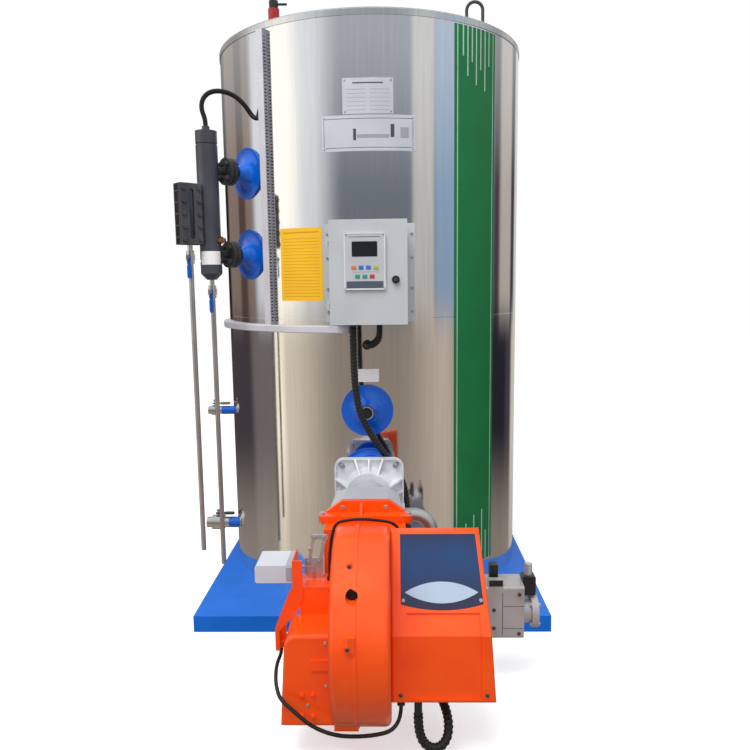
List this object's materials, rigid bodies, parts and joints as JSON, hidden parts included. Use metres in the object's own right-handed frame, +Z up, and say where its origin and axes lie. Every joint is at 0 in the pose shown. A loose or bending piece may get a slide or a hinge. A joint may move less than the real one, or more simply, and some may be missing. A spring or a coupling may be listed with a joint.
{
  "type": "gas steam generator",
  "caption": "Upright gas-fired steam generator in a polished round jacket on a blue base, with an orange forced-draught burner, control box and water-level column.",
  "frame": {"origin": "on the floor, on the boiler's vertical axis, on the underside of the base frame's cross channel", "axes": "+Z up along the boiler's axis, -Y towards the burner's front, +X to the right seen from the front"},
  "size_m": [1.632, 2.607, 2.756],
  "materials": {
    "blue_paint": "gloss enamel",
    "polished_steel": "polished stainless",
    "red_paint": "gloss enamel",
    "black_plastic": "moulded",
    "dark_steel": "plain bar",
    "duct_plastic": "moulded",
    "flange_black": "satin",
    "column_grey": "satin",
    "gauge_iron": "painted casting",
    "nickel": "plated brass",
    "pipe_steel": "drawn tube",
    "lever_blue": "dipped sleeve",
    "lever_tan": "satin",
    "lever_dark": "satin",
    "box_grey": "powder coat",
    "panel_plastic": "membrane",
    "button_plastic": "membrane",
    "cast_aluminium": "as cast",
    "head_grey": "satin",
    "orange_paint": "gloss enamel",
    "smoked_window": "smoked",
    "servo_white": "moulded",
    "link_steel": "zinc plated",
    "gas_pipe_steel": "primer",
    "cable_black": "corrugated"
  },
  "bodies": {
    "boiler": {"air_intake_box": "orange_paint", "base_cross_channel": "blue_paint", "base_deck": "blue_paint", "base_front_channel": "blue_paint", "base_left_channel": "blue_paint", "base_rear_channel": "blue_paint", "base_right_channel": "blue_paint", "blowdown_valve": "nickel", "box_back_plate": "box_grey", "box_conduit_loop": "cable_black", "box_glands": "black_plastic", "burner_conduit": "cable_black", "burner_flange": "cast_aluminium", "burner_head": "head_grey", "burner_neck": "blue_paint", "burner_yoke": "orange_paint", "cable_belt": "duct_plastic", "column_cable": "cable_black", "control_box": "box_grey", "damper_linkage": "link_steel", "drain_pipes": "pipe_steel", "drain_valves": "nickel", "fan_volute": "orange_paint", "feed_valve": "nickel", "flue_collar": "polished_steel", "gas_pipe": "gas_pipe_steel", "gas_valve": "cast_aluminium", "gas_valve_plugs": "black_plastic", "level_column": "column_grey", "lifting_loops": "dark_steel", "lower_jacket": "polished_steel", "motor_cable": "cable_black", "nozzle_cones": "blue_paint", "nozzle_flanges": "flange_black", "panel_cover": "orange_paint", "panel_glands": "black_plastic", "panel_window": "smoked_window", "roof_cover": "polished_steel", "safety_valve": "red_paint", "safety_valve_cap": "black_plastic", "servo_bracket": "orange_paint", "servo_cable": "cable_black", "servo_motor": "servo_white", "side_nipples": "blue_paint", "sight_gauge": "gauge_iron", "sight_port_cone": "blue_paint", "sight_port_tube": "pipe_steel", "steam_outlet": "polished_steel", "upper_jacket": "polished_steel", "wire_duct": "duct_plastic", "wire_duct_cover": "duct_plastic"},
    "box_door": {"control_box_door": "box_grey", "control_panel": "panel_plastic", "panel_buttons": "button_plastic", "door_lock": "black_plastic"},
    "feed_handle": {"feed_lever": "lever_tan"},
    "blowdown_handle": {"blowdown_lever": "lever_dark"},
    "column_drain_handle": {"column_drain_lever": "lever_blue"},
    "gauge_drain_handle": {"gauge_drain_lever": "lever_blue"}
  },
  "joints": [
    {"name": "box_door_hinge", "type": "hinge", "parent": "boiler", "child": "box_door", "pos_m": [-0.146, -0.939, 1.493], "axis": [0, 0, -1], "range_deg": [0, 115]},
    {"name": "feed_turn", "type": "hinge", "parent": "boiler", "child": "feed_handle", "pos_m": [-0.815, -0.1, 0.8455], "axis": [0, 0, -1], "range_deg": [0, 90]},
    {"name": "blowdown_turn", "type": "hinge", "parent": "boiler", "child": "blowdown_handle", "pos_m": [-0.8235, -0.1, 0.2595], "axis": [0, 0, -1], "range_deg": [0, 90]},
    {"name": "column_drain_turn", "type": "hinge", "parent": "boiler", "child": "column_drain_handle", "pos_m": [-0.67285, -0.65344, 1.423], "axis": [0, -1, 0], "range_deg": [0, 90]},
    {"name": "gauge_drain_turn", "type": "hinge", "parent": "boiler", "child": "gauge_drain_handle", "pos_m": [-0.74306, -0.71891, 1.569], "axis": [0, 1, 0], "range_deg": [0, 90]}
  ]
}
